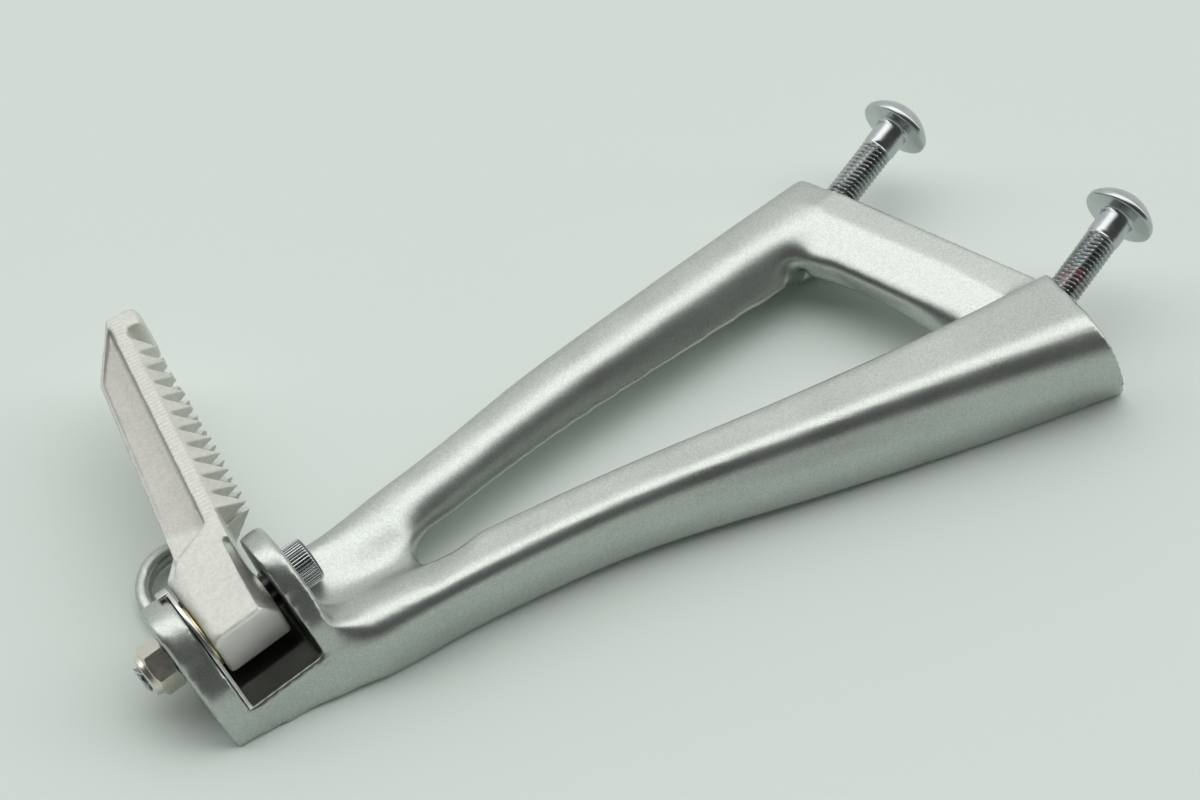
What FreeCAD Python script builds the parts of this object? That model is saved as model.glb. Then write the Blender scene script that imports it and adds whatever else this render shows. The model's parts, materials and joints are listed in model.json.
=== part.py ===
"""Passenger footrest hanger with a folding peg, lying on its back, outer face up."""
import FreeCAD, Part
import math
import os

V = FreeCAD.Vector

# Pivot screw
pin_incline = 12.0
screw_d = 8.0
screw_tip_out = 1.4
screw_tip_chamfer = 0.8
screw_head_d = 13.0
screw_head_h = 8.0
screw_head_chamfer = 0.5
screw_socket_af = 6.0
screw_socket_depth = 4.0
screw_clearance = 0.05

# Lock nut and its nylon ring
nut_af = 13.0
nut_hex_h = 6.4
nut_collar_d = 11.6
nut_collar_h = 1.8
nut_lip_d = 9.6
nut_lip_t = 0.2
insert_d = 10.4
thread_clearance = 0.02

# Clevis, in the pin frame: s along the screw, y across it, w away from the floor
slot_width = 23.5
slot_centre_s = -0.65
nut_ear_t = 8.4
screw_ear_t = 6.9
head_seat_t = 5.0
ear_r = 15.0
ear_front_y = -22.8
ear_front_w = -7.0
clevis_foot_y = -29.4
ear_bend_r = 12.0
heel_clearance = 0.9
pocket_toe_y = -11.0
pocket_floor_t = 3.7

# Tool channel in front of the screw head
channel_r = 10.4

# Luggage eye behind the clevis
eye_centre_x = -1.5
eye_centre_y = 25.5
eye_outer_r = 15.5
eye_bar = 4.8
eye_floor_gap = 1.2
eye_clearance = 0.7
eye_edge_r = 2.0

# Footpeg root block
block_t = 18.0
block_heel_y = -9.5
block_front_y = 23.0
block_neck_y = 20.5
block_edge_r = 1.2
block_rim_r = 1.1
block_bevel_s = 4.4
block_bevel_w = 7.0
thrust_pad_d = 11.0
thrust_pad_h = 1.9
side_clearance = 0.2

# Footpeg blade and tread
blade_tilt = 9.5
blade_half_w = 10.0
blade_under_s = -4.5
blade_taper = 2.4
blade_tread_s = 10.9
blade_clearance = 1.0
blade_tip_y = 102.0
blade_tip_rake = 21.0
tread_rim = 3.8
tread_root = 1.9
scoop_depth = 3.0
scoop_rim = 0.9
scoop_groove_r = 1.6
scoop_end_r = 3.0
tooth_pitch = 6.0
tooth_h = 5.0
tooth_start_y = 26.0
tooth_peak_w = 1.6
tooth_valley_w = 0.6
tread_taper = 4.2
end_notch = 2.4
end_lip_h = 5.6
end_lip_t = 7.3
end_lip_r = 2.4

# Click plate, washer, ball and spring
plate_t = 1.0
plate_rise = 1.0
plate_tab_w = 6.0
plate_tab_reach = 2.4
plate_tab_lean = 40.0
washer_t = 0.8
washer_d = 18.4
ball_d = 4.0
ball_washer_gap = 0.3
ball_clearance = 0.05
ball_seat_d = 2.4
detent_wall = 1.0
detent_bore_depth = 12.0
spring_wire_d = 0.8
spring_turns = 5
spring_gap = 0.1

# Frame bolts and their bosses
bolt_d = 10.0
bolt_yaw = 14.6
bolt_pitch = 17.3
bolt_length = 46.0
bolt_engagement = 13.9
bolt_shoulder_d = 10.4
bolt_shoulder_l = 8.5
bolt_head_d = 22.0
bolt_head_h = 7.8
bolt_rim_h = 1.8
bolt_socket_af = 6.0
bolt_socket_depth = 4.0
boss_d = 17.6
boss_depth = 14.0
tap_spare = 4.0
upper_boss = V(227.4, 26.3, 13.1)
lower_boss = V(250.5, -47.1, 20.1)

# Trimmed ends of the arms: a point on each cut and the cut's direction
end_point = V(226.6, 17.1, 22.0)
end_yaw = 20.8
end_pitch = 8.0
corner_point = V(255.0, -74.7, 0.0)
corner_yaw = -6.0
corner_pitch = 18.5
trim_reach = 400.0

# Near arm sections: x, then y and z of the foot, wall, shoulder and inner corners, and the shoulder's radius
section_step = 15.0
corner_r = 1.4
lower_arm_sections = (
    (-26.0, -24.6, 0.0, -23.2, 5.0, -21.0, 9.0, -12.0, 9.0, 3.0),
    (0.0, -25.8, 0.0, -24.0, 6.0, -21.8, 11.0, -12.0, 11.0, 3.5),
    (14.0, -28.0, 0.0, -26.6, 7.5, -24.4, 15.2, -12.6, 15.0, 4.0),
    (23.0, -29.2, 0.0, -28.6, 9.0, -26.4, 17.0, -13.0, 16.6, 4.5),
    (33.0, -30.2, 0.2, -30.0, 10.5, -28.4, 20.8, -13.6, 20.2, 5.5),
    (60.0, -31.8, 1.2, -31.8, 11.0, -29.6, 21.6, -15.2, 20.8, 5.5),
    (105.0, -38.6, 2.4, -38.8, 12.0, -34.6, 23.0, -20.6, 22.2, 6.0),
    (165.0, -54.4, 1.4, -54.8, 12.5, -48.0, 25.8, -31.2, 25.0, 7.5),
    (215.0, -66.4, 0.2, -67.4, 12.5, -62.0, 28.8, -38.8, 28.0, 10.5),
    (264.0, -76.6, 0.0, -80.0, 11.0, -77.0, 30.8, -43.0, 30.0, 15.0),
)
lower_wall_r = 20.0
lower_inner_r = 2.6
lower_draft = 1.6
recess_from_x = 75.0
recess_to_x = 226.0
recess_wall = 4.5
recess_top_z = 12.0

# Far arm sections: x, then foot y and z, near and far top corners, and the far foot's y
upper_arm_sections = (
    (14.0, -6.0, 3.0, -5.0, 17.5, 12.6, 16.6, 14.0),
    (30.0, -5.6, 3.6, -4.6, 19.6, 11.4, 18.2, 13.4),
    (68.0, 1.4, 4.6, 2.4, 20.8, 15.6, 19.4, 18.0),
    (108.0, 7.4, 4.4, 8.6, 21.8, 22.8, 20.4, 25.4),
    (150.0, 10.8, 4.0, 13.2, 22.8, 28.0, 21.4, 30.8),
    (190.0, 13.4, 3.0, 17.4, 23.8, 32.4, 22.4, 35.4),
    (240.0, 16.6, 1.0, 22.0, 24.8, 37.4, 23.6, 40.6),
)
upper_near_r = 4.2
upper_far_r = 4.4
lip_h = 2.2
lip_out = 1.3
lip_edge_r = 0.35

# Web that joins the arms behind the clevis
web_front_x = 51.0
web_top_z = 14.0
web_near_y = -26.0
web_far_y = 9.0
web_nose_r = 5.0

# Crossbar: front and back edges of its sections in plan, and its heights
cross_sections = (
    (V(227.0, -50.0, 0), V(252.0, -50.0, 0)),
    (V(215.4, -20.0, 0), V(242.0, -20.0, 0)),
    (V(207.2, 2.0, 0), V(233.0, 2.0, 0)),
    (V(200.0, 13.0, 0), V(229.0, 14.0, 0)),
    (V(194.5, 19.5, 0), V(226.0, 24.0, 0)),
)
cross_front_z = 18.0
cross_ridge_z = 24.2
cross_back_z = 25.0
cross_ridge_run = 11.8
cross_under_z = 11.0
cross_edge_r = 3.0

# Places along the pin that follow from the sizes above
slot_from = slot_centre_s - slot_width / 2
slot_to = slot_centre_s + slot_width / 2
nut_seat_s = slot_from - nut_ear_t
nut_end_s = nut_seat_s - nut_hex_h
collar_end_s = nut_end_s - nut_collar_h
screw_tip_s = collar_end_s - screw_tip_out
screw_ear_s = slot_to + screw_ear_t
head_seat_s = slot_to + head_seat_t
head_top_s = head_seat_s + screw_head_h
plate_face_s = slot_from + plate_t
washer_face_s = plate_face_s + washer_t
block_left_s = washer_face_s + side_clearance
pad_face_s = slot_to - side_clearance
block_right_s = pad_face_s - thrust_pad_h
ball_tip_s = plate_face_s + ball_clearance

# Radii and heights that follow from the sizes above
screw_hole_r = screw_d / 2 + screw_clearance
thread_hole_r = screw_d / 2 + thread_clearance
ear_back_y = ear_r
blade_root_y = ear_r + blade_clearance
ball_y = washer_d / 2 + ball_washer_gap + ball_d / 2
block_left_y = ball_y + ball_d / 2 + detent_wall
heel_room = math.hypot(block_heel_y, block_t / 2) + heel_clearance
incline_sin = math.sin(math.radians(pin_incline))
incline_cos = math.cos(math.radians(pin_incline))
pin_height = pocket_floor_t + heel_room * incline_cos - slot_from * incline_sin
foot_depth = pin_height + ear_r
eye_top_z = pin_height - blade_half_w * incline_cos + block_left_s * incline_sin - eye_clearance


def rounded_wire(corners, radii, place):
    """Closed wire through flat corners, each rounded by its own radius."""
    count = len(corners)
    starts = []
    ends = []
    mids = []
    for i in range(count):
        here = V(corners[i][0], corners[i][1], 0)
        before = V(corners[i - 1][0], corners[i - 1][1], 0)
        after = V(corners[(i + 1) % count][0], corners[(i + 1) % count][1], 0)
        back = (before - here).normalize()
        on = (after - here).normalize()
        half = back.getAngle(on) / 2
        reach = radii[i] / math.tan(half)
        inward = (back + on).normalize()
        centre = here + inward * (radii[i] / math.sin(half))
        starts.append(here + back * reach)
        ends.append(here + on * reach)
        mids.append(centre - inward * radii[i])
    edges = []
    for i in range(count):
        if radii[i] > 0:
            edges.append(Part.Arc(place(starts[i]), place(mids[i]), place(ends[i])).toShape())
        edges.append(Part.LineSegment(place(ends[i]), place(starts[(i + 1) % count])).toShape())
    return Part.Wire(edges)


def across(x):
    """Places a flat (y, z) profile in the plane at x."""
    return lambda p: V(x, p.x, p.y)


def level(z):
    """Places a flat (x, y) profile at a height."""
    return lambda p: V(p.x, p.y, z)


def upright(y):
    """Places a flat (x, z) profile in the plane at y."""
    return lambda p: V(p.x, y, p.y)


def sharp(corners):
    """No rounding at any corner."""
    return (0,) * len(corners)


def to_pin(shape):
    """Moves a shape from the pin frame (s, y, w) to its place."""
    turn = FreeCAD.Rotation(V(0, 1, 0), -pin_incline)
    moved = shape.copy()
    moved.Placement = FreeCAD.Placement(V(0, 0, pin_height), turn).multiply(moved.Placement)
    return moved


def prism_s(corners, radii, s_from, s_to):
    """Prism of a (y, w) profile along the pin."""
    face = Part.Face(rounded_wire(corners, radii, across(s_from)))
    return face.extrude(V(s_to - s_from, 0, 0))


def rod(radius, s_from, s_to, y=0.0, w=0.0):
    """Round bar along the pin."""
    return Part.makeCylinder(radius, s_to - s_from, V(s_from, y, w), V(1, 0, 0))


def hexagon(af, base, axis, height):
    """Hexagonal prism along an axis."""
    side = af / math.sqrt(3)
    points = []
    for i in range(7):
        angle = math.radians(60 * i)
        points.append(V(side * math.cos(angle), side * math.sin(angle), 0))
    prism = Part.Face(Part.makePolygon(points)).extrude(V(0, 0, height))
    prism.Placement = FreeCAD.Placement(base, FreeCAD.Rotation(V(0, 0, 1), axis))
    return prism


def aim(yaw, pitch):
    """Unit vector at a plan angle from x and a rise above the floor, in degrees."""
    run = math.cos(math.radians(pitch))
    rise = math.sin(math.radians(pitch))
    return V(run * math.cos(math.radians(yaw)), run * math.sin(math.radians(yaw)), rise)


bolt_axis = aim(bolt_yaw, bolt_pitch)


def tangent_point(y, w, radius):
    """Where a line from (y, w) touches the top of a circle about the pin."""
    distance = math.hypot(y, w)
    angle = math.atan2(w, y) - math.acos(radius / distance)
    return radius * math.cos(angle), radius * math.sin(angle)


def ear(s_from, s_to, radius):
    """One clevis ear: a round top about the pin and a sloping front."""
    corners = (
        (clevis_foot_y, -foot_depth),
        (ear_front_y, ear_front_w),
        tangent_point(ear_front_y, ear_front_w, radius),
        (0, 0),
        (ear_back_y, 0),
        (ear_back_y, -foot_depth),
    )
    body = prism_s(corners, (0, ear_bend_r, 0, 0, 0, 0), s_from, s_to)
    return body.fuse(rod(radius, s_from, s_to)).removeSplitter()


def flow(table, x):
    """Section values at x, flowing smoothly through a table of sections."""
    last = len(table) - 1
    i = 0
    while i < last - 1 and x > table[i + 1][0]:
        i += 1
    run = table[i + 1][0] - table[i][0]
    t = (x - table[i][0]) / run
    values = []
    for k in range(1, len(table[0])):
        slopes = []
        for j in (i, i + 1):
            before = table[max(j - 1, 0)]
            after = table[min(j + 1, last)]
            slopes.append((after[k] - before[k]) / (after[0] - before[0]) * run)
        rise = table[i + 1][k] - table[i][k]
        values.append(
            table[i][k] + slopes[0] * t + (3 * rise - 2 * slopes[0] - slopes[1]) * t ** 2
            + (slopes[0] + slopes[1] - 2 * rise) * t ** 3
        )
    return values


def stations(from_x, to_x):
    """Evenly spaced places along x, about one section step apart."""
    count = max(2, round((to_x - from_x) / section_step))
    return [from_x + (to_x - from_x) * i / count for i in range(count + 1)]


def lower_arm():
    """Near arm: a broad leaning outer wall under a rounded shoulder."""
    wires = []
    for x in stations(lower_arm_sections[0][0], lower_arm_sections[-1][0]):
        foot_y, foot_z, wall_y, wall_z, top_y, top_z, in_y, in_z, shoulder_r = flow(lower_arm_sections, x)
        corners = (
            (in_y - lower_draft, foot_z),
            (foot_y, foot_z),
            (wall_y, wall_z),
            (top_y, top_z),
            (in_y, in_z),
        )
        radii = (corner_r, corner_r, lower_wall_r, shoulder_r, lower_inner_r)
        wires.append(rounded_wire(corners, radii, across(x)))
    return Part.makeLoft(wires, True, False)


def lower_recess():
    """Hollow in the back of the near arm."""
    wires = []
    for x in stations(recess_from_x, recess_to_x):
        section = flow(lower_arm_sections, x)
        near = section[0] + recess_wall
        far = section[6] - lower_draft - recess_wall
        under_z = section[1] - recess_wall
        corners = (
            (far, under_z),
            (near, under_z),
            (near, recess_top_z),
            (far, recess_top_z),
        )
        edge_r = min(corner_r, (far - near) / 3)
        wires.append(rounded_wire(corners, (edge_r,) * len(corners), across(x)))
    return Part.makeLoft(wires, True, False)


def upper_arm():
    """Far arm: a narrower bar with a thin lip along its lower inner edge."""
    wires = []
    for x in stations(upper_arm_sections[0][0], upper_arm_sections[-1][0]):
        foot_y, foot_z, near_y, near_z, far_y, far_z, far_foot_y = flow(upper_arm_sections, x)
        corners = (
            (foot_y - lip_out, foot_z),
            (foot_y - lip_out, foot_z + lip_h),
            (foot_y, foot_z + lip_h + lip_out),
            (near_y, near_z),
            (far_y, far_z),
            (far_foot_y, foot_z),
        )
        radii = (lip_edge_r, lip_edge_r, lip_edge_r, upper_near_r, upper_far_r, corner_r)
        wires.append(rounded_wire(corners, radii, across(x)))
    return Part.makeLoft(wires, True, False)


def root_web():
    """Block that joins the two arms behind the clevis."""
    corners = (
        (slot_to, web_near_y),
        (web_front_x, web_near_y),
        (web_front_x, web_far_y),
        (slot_to, web_far_y + web_nose_r),
    )
    wire = rounded_wire(corners, (0, 0, 0, web_nose_r), level(0))
    return Part.Face(wire).extrude(V(0, 0, web_top_z))


def crossbar():
    """Sloping slab between the arm ends, open underneath."""
    wires = []
    for front, back in cross_sections:
        span = (back - front).Length
        along = (back - front).normalize()
        corners = (
            (0, cross_under_z),
            (0, cross_front_z),
            (span - cross_ridge_run, cross_ridge_z),
            (span, cross_back_z),
            (span, cross_under_z),
        )
        radii = (corner_r, cross_edge_r, corner_r, corner_r, corner_r)

        def stand(p, front=front, along=along):
            return front + along * p.x + V(0, 0, p.y)

        wires.append(rounded_wire(corners, radii, stand))
    return Part.makeLoft(wires, True, False)


def eye_plate(radius):
    """Half disc about the eye's centre, with straight legs into the clevis."""
    height = eye_top_z - eye_floor_gap
    leg_y = ear_back_y / 2
    half = Part.makeCylinder(radius, height, V(eye_centre_x, eye_centre_y, eye_floor_gap), V(0, 0, 1), 180)
    leg_corner = V(eye_centre_x - radius, leg_y, eye_floor_gap)
    legs = Part.makeBox(2 * radius, eye_centre_y - leg_y, height, leg_corner)
    return half.fuse(legs).removeSplitter()


def luggage_eye():
    """Half-round cast eye behind the clevis."""
    ring = eye_plate(eye_outer_r).cut(eye_plate(eye_outer_r - eye_bar))
    rims = []
    for edge in ring.Edges:
        flat = edge.BoundBox.ZLength < eye_edge_r
        behind = edge.BoundBox.YMax > ear_back_y
        if flat and behind:
            rims.append(edge)
    return ring.makeFillet(eye_edge_r, rims)


def boss(face_point):
    """Round boss whose face takes the frame."""
    return Part.makeCylinder(boss_d / 2, boss_depth, face_point - bolt_axis * boss_depth, bolt_axis)


def tapped_hole(face_point):
    """Tapped hole from below the bolt's end out past the boss face."""
    depth = bolt_engagement + tap_spare
    start = face_point - bolt_axis * depth
    return Part.makeCylinder(bolt_d / 2 + thread_clearance, depth + bolt_length, start, bolt_axis)


def trim_block(point, yaw, pitch):
    """Block past a trimmed end, square to a direction."""
    block = Part.makeBox(trim_reach, trim_reach, trim_reach, V(0, -trim_reach / 2, -trim_reach / 2))
    block.Placement = FreeCAD.Placement(point, FreeCAD.Rotation(V(1, 0, 0), aim(yaw, pitch)))
    return block


def clevis_slot():
    """Room between the ears for the peg's root to turn in."""
    corners = (
        (ear_front_y, ear_front_w),
        (pocket_toe_y, -heel_room),
        (2 * ear_back_y, -heel_room),
        (2 * ear_back_y, foot_depth),
        (2 * ear_front_y, foot_depth),
        (2 * ear_front_y, ear_front_w),
    )
    slot = prism_s(corners, sharp(corners), slot_from, slot_to)
    return slot.fuse(rod(heel_room, slot_from, slot_to)).removeSplitter()


def hanger_casting():
    """The whole casting with its slot, bores and tapped holes."""
    arms = lower_arm().fuse([upper_arm(), crossbar(), root_web()])
    past_nut = V(nut_seat_s - trim_reach, ear_back_y / 2 - trim_reach, -trim_reach / 2)
    nut_side = Part.makeBox(trim_reach, trim_reach, trim_reach, past_nut)
    arms = arms.cut([
        trim_block(end_point, end_yaw, end_pitch),
        trim_block(corner_point, corner_yaw, corner_pitch),
        to_pin(nut_side),
        lower_recess(),
    ])
    clevis = ear(nut_seat_s, screw_ear_s, ear_r)
    body = arms.fuse([to_pin(clevis), luggage_eye(), boss(upper_boss), boss(lower_boss)])
    under_floor = V(-trim_reach, -trim_reach, -trim_reach)
    body = body.cut([
        to_pin(clevis_slot()),
        to_pin(rod(channel_r, head_seat_s, web_front_x)),
        to_pin(rod(screw_hole_r, nut_end_s, head_top_s)),
        Part.makeBox(2 * trim_reach, 2 * trim_reach, trim_reach, under_floor),
        tapped_hole(upper_boss),
        tapped_hole(lower_boss),
    ])
    return body.removeSplitter()


def scooped_bar():
    """Blade's bar, closing in and raked at the tip, with a rimmed scoop in both sides."""
    strip_s = blade_tread_s - tread_rim
    tip_under_s = blade_under_s + blade_taper
    corners = (
        (blade_under_s, blade_root_y),
        (blade_tread_s, blade_root_y),
        (blade_tread_s, blade_tip_y),
        (strip_s, blade_tip_y),
        (tip_under_s, blade_tip_y - blade_tip_rake),
    )
    outline = rounded_wire(corners, sharp(corners), level(-blade_half_w))
    bar = Part.Face(outline).extrude(V(0, 0, 2 * blade_half_w))
    rake_s = strip_s - tip_under_s
    rim_rise = scoop_rim * math.hypot(rake_s, blade_tip_rake) / rake_s
    mouth = (
        (blade_under_s + scoop_rim, block_neck_y),
        (strip_s, block_front_y),
        (strip_s, blade_tip_y - rim_rise),
        (tip_under_s + scoop_rim, blade_tip_y - blade_tip_rake),
    )
    mouth_wire = rounded_wire(mouth, (0, scoop_end_r, 0, 0), level(0))
    floor = (
        (blade_under_s, blade_half_w),
        (strip_s, blade_half_w - scoop_depth),
        (strip_s, 2 * blade_half_w),
        (blade_under_s, 2 * blade_half_w),
    )
    floor_wire = rounded_wire(floor, (0, scoop_groove_r, 0, 0), upright(0))
    wedge = Part.Face(floor_wire).extrude(V(0, blade_tip_y, 0))
    scoop = Part.Face(mouth_wire).extrude(V(0, 0, 2 * blade_half_w)).common(wedge)
    return bar.cut([scoop, scoop.mirror(V(0, 0, 0), V(0, 0, 1))])


def tread_rise(y):
    """How much taller the teeth are than at the tip."""
    return tread_taper * (blade_tip_y - y) / (blade_tip_y - tooth_start_y)


def tread_teeth():
    """Two rows of pointed teeth on a roof-shaped tread, with a valley between them."""
    deep = blade_tread_s - tread_root
    length = blade_tip_y - end_lip_t - end_notch - tooth_start_y
    count = int(length / tooth_pitch)
    saw = [(deep, tooth_start_y), (blade_tread_s, tooth_start_y)]
    for i in range(count):
        middle = tooth_start_y + (i + 0.5) * tooth_pitch
        valley = tooth_start_y + (i + 1) * tooth_pitch
        saw.append((blade_tread_s + tread_rise(middle) + tooth_h, middle))
        saw.append((blade_tread_s, valley))
    saw.append((deep, tooth_start_y + count * tooth_pitch))
    comb_face = Part.Face(rounded_wire(saw, sharp(saw), level(-blade_half_w)))
    comb = comb_face.extrude(V(0, 0, 2 * blade_half_w))
    row = (
        (blade_tread_s, tooth_valley_w),
        (blade_tread_s + blade_half_w - tooth_peak_w, tooth_peak_w),
        (blade_tread_s, blade_half_w),
    )
    ridge = [(deep, -blade_half_w)]
    ridge += [(s, -w) for s, w in reversed(row)]
    ridge += row
    ridge.append((deep, blade_half_w))
    roof = Part.Face(rounded_wire(ridge, sharp(ridge), upright(0))).extrude(V(0, blade_tip_y, 0))
    return comb.common(roof)


def blade():
    """Peg blade with its teeth and an upstanding lip at the tip."""
    deep = blade_tread_s - tread_root
    lip_at = V(deep, blade_tip_y - end_lip_t, -blade_half_w)
    lip = Part.makeBox(tread_root + end_lip_h, end_lip_t, 2 * blade_half_w, lip_at)
    crown = [e for e in lip.Edges if e.BoundBox.XMin > blade_tread_s]
    lip = lip.makeFillet(end_lip_r, crown)
    whole = scooped_bar().fuse([tread_teeth(), lip]).removeSplitter()
    whole.rotate(V(0, block_front_y, 0), V(0, 0, 1), -blade_tilt)
    return whole


def root_block():
    """Peg's root between the ears, with softened edges and one bevelled corner."""
    plan = (
        (block_left_s, block_heel_y),
        (block_right_s, block_heel_y),
        (block_right_s, block_front_y),
        (blade_under_s, block_neck_y),
        (block_left_s, block_left_y),
    )
    outline = rounded_wire(plan, (block_edge_r, block_edge_r, 0, 0, block_edge_r), level(-block_t / 2))
    block = Part.Face(outline).extrude(V(0, 0, block_t))
    bevel = (
        (block_right_s, block_t / 2 - block_bevel_w),
        (block_right_s + block_bevel_s, block_t / 2),
        (block_right_s - block_bevel_s, block_t / 2),
    )
    bevel_face = Part.Face(rounded_wire(bevel, sharp(bevel), upright(2 * block_heel_y)))
    block = block.cut(bevel_face.extrude(V(0, block_front_y - 2 * block_heel_y, 0)))
    rims = []
    for edge in block.Edges:
        box = edge.BoundBox
        flat = box.ZLength < block_rim_r / 2
        outer = abs(box.Center.z) > block_t / 2 - block_rim_r / 2
        if flat and outer and box.YMax < block_front_y - block_rim_r:
            rims.append(edge)
    return block.makeFillet(block_rim_r, rims)


def footpeg():
    """Cast peg: root block with pin bore and detent bore, and the blade."""
    pad = rod(thrust_pad_d / 2, 0, pad_face_s)
    bore = rod(screw_hole_r, nut_seat_s, head_top_s)
    detent_bore = rod(ball_d / 2 + ball_clearance, slot_from, block_left_s + detent_bore_depth, ball_y)
    body = root_block().fuse([pad, blade()]).cut([bore, detent_bore]).removeSplitter()
    return to_pin(body)


def pivot_screw():
    """Socket head cap screw through both ears."""
    shank = rod(screw_d / 2, screw_tip_s, head_seat_s)
    tip_edges = [e for e in shank.Edges if e.BoundBox.XMax < nut_seat_s]
    shank = shank.makeChamfer(screw_tip_chamfer, tip_edges)
    head = rod(screw_head_d / 2, head_seat_s, head_top_s)
    rim = [e for e in head.Edges if e.BoundBox.XMin > head_seat_s]
    head = head.makeChamfer(screw_head_chamfer, rim)
    socket = hexagon(screw_socket_af, V(head_top_s, 0, 0), V(-1, 0, 0), screw_socket_depth)
    return to_pin(shank.fuse(head).cut(socket).removeSplitter())


def lock_nut():
    """Hexagon nut with a round collar that holds the nylon ring."""
    hexa = hexagon(nut_af, V(nut_seat_s, 0, 0), V(-1, 0, 0), nut_hex_h)
    corner_reach = nut_af / math.sqrt(3)
    cone_from = V(nut_seat_s + corner_reach - nut_af / 2, 0, 0)
    trim = Part.makeCone(2 * corner_reach, nut_af / 2, nut_hex_h + nut_collar_h, cone_from, V(-1, 0, 0))
    body = hexa.common(trim).fuse(rod(nut_collar_d / 2, collar_end_s, nut_end_s))
    seat = rod(insert_d / 2, collar_end_s + nut_lip_t, nut_end_s)
    mouth = rod(nut_lip_d / 2, collar_end_s, nut_end_s)
    bore = rod(thread_hole_r, collar_end_s, nut_seat_s)
    return to_pin(body.cut([seat, mouth, bore]).removeSplitter())


def lock_nut_insert():
    """Nylon ring in the nut's collar."""
    ring = rod(insert_d / 2, collar_end_s + nut_lip_t, nut_end_s)
    return to_pin(ring.cut(rod(thread_hole_r, collar_end_s, nut_end_s)))


def click_plate():
    """Thin detent plate on the inner face of the nut-side ear, hooked over its top."""
    plate = ear(slot_from, plate_face_s, ear_r + plate_rise)
    below = (
        (2 * ear_front_y, ear_front_w),
        (ear_front_y, ear_front_w),
        (pocket_toe_y, -heel_room),
        (2 * ear_back_y, -heel_room),
        (2 * ear_back_y, -2 * foot_depth),
        (2 * ear_front_y, -2 * foot_depth),
    )
    under_pocket = prism_s(below, sharp(below), slot_from, plate_face_s)
    hole = rod(screw_hole_r, slot_from, plate_face_s)
    folded_seat = rod(ball_seat_d / 2, slot_from, plate_face_s, ball_y, 0)
    ready_seat = rod(ball_seat_d / 2, slot_from, plate_face_s, 0, ball_y)
    plate = plate.cut([under_pocket, hole, folded_seat, ready_seat])
    tab_at = V(slot_from - plate_tab_reach, -plate_tab_w / 2, ear_r + side_clearance)
    tab = Part.makeBox(plate_tab_reach + plate_t, plate_tab_w, plate_rise - side_clearance, tab_at)
    tab.rotate(V(0, 0, 0), V(1, 0, 0), -plate_tab_lean)
    return to_pin(plate.fuse(tab).removeSplitter())


def thrust_washer():
    """Thin washer between the click plate and the peg."""
    ring = rod(washer_d / 2, plate_face_s, washer_face_s)
    return to_pin(ring.cut(rod(screw_hole_r, plate_face_s, washer_face_s)))


def detent_ball():
    """Steel ball that bears on the click plate."""
    return to_pin(Part.makeSphere(ball_d / 2, V(ball_tip_s + ball_d / 2, ball_y, 0)))


def detent_spring():
    """Coil spring behind the ball."""
    from_s = ball_tip_s + ball_d + spring_gap
    to_s = block_left_s + detent_bore_depth
    coil_r = ball_d / 2 - spring_wire_d / 2 - spring_gap
    run = to_s - from_s - spring_wire_d
    helix = Part.makeHelix(run / spring_turns, run, coil_r)
    ring = Part.Wire([Part.makeCircle(spring_wire_d / 2, V(coil_r, 0, 0), V(0, 1, 0))])
    coil = Part.Wire(helix).makePipeShell([ring], True, True)
    base = V(from_s + spring_wire_d / 2, ball_y, 0)
    coil.Placement = FreeCAD.Placement(base, FreeCAD.Rotation(V(0, 0, 1), V(1, 0, 0)))
    return to_pin(coil)


def frame_bolt(face_point):
    """Button-head bolt screwed part-way into a boss."""
    bottom = face_point - bolt_axis * bolt_engagement
    under = bottom + bolt_axis * bolt_length
    shank = Part.makeCylinder(bolt_d / 2, bolt_length, bottom, bolt_axis)
    shoulder_base = under - bolt_axis * bolt_shoulder_l
    shoulder = Part.makeCylinder(bolt_shoulder_d / 2, bolt_shoulder_l, shoulder_base, bolt_axis)
    rim = Part.makeCylinder(bolt_head_d / 2, bolt_rim_h, under, bolt_axis)
    dome_h = bolt_head_h - bolt_rim_h
    dome_r = ((bolt_head_d / 2) ** 2 + dome_h ** 2) / (2 * dome_h)
    dome = Part.makeSphere(dome_r, under + bolt_axis * (bolt_head_h - dome_r))
    above = Part.makeCylinder(bolt_head_d / 2, bolt_head_h, under + bolt_axis * bolt_rim_h, bolt_axis)
    socket = hexagon(bolt_socket_af, under + bolt_axis * bolt_head_h, bolt_axis * -1, bolt_socket_depth)
    head = rim.fuse(dome.common(above))
    return shank.fuse([shoulder, head]).cut(socket).removeSplitter()


pieces = {
    "hanger_casting": hanger_casting(),
    "footpeg": footpeg(),
    "pivot_screw": pivot_screw(),
    "lock_nut": lock_nut(),
    "lock_nut_insert": lock_nut_insert(),
    "click_plate": click_plate(),
    "thrust_washer": thrust_washer(),
    "detent_ball": detent_ball(),
    "detent_spring": detent_spring(),
    "frame_bolt_upper": frame_bolt(upper_boss),
    "frame_bolt_lower": frame_bolt(lower_boss),
}

os.makedirs("parts", exist_ok=True)
for name, shape in pieces.items():
    print(name, shape.isValid(), len(shape.Solids), round(shape.Volume, 1))
    shape.exportStep("parts/" + name + ".step")
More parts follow.
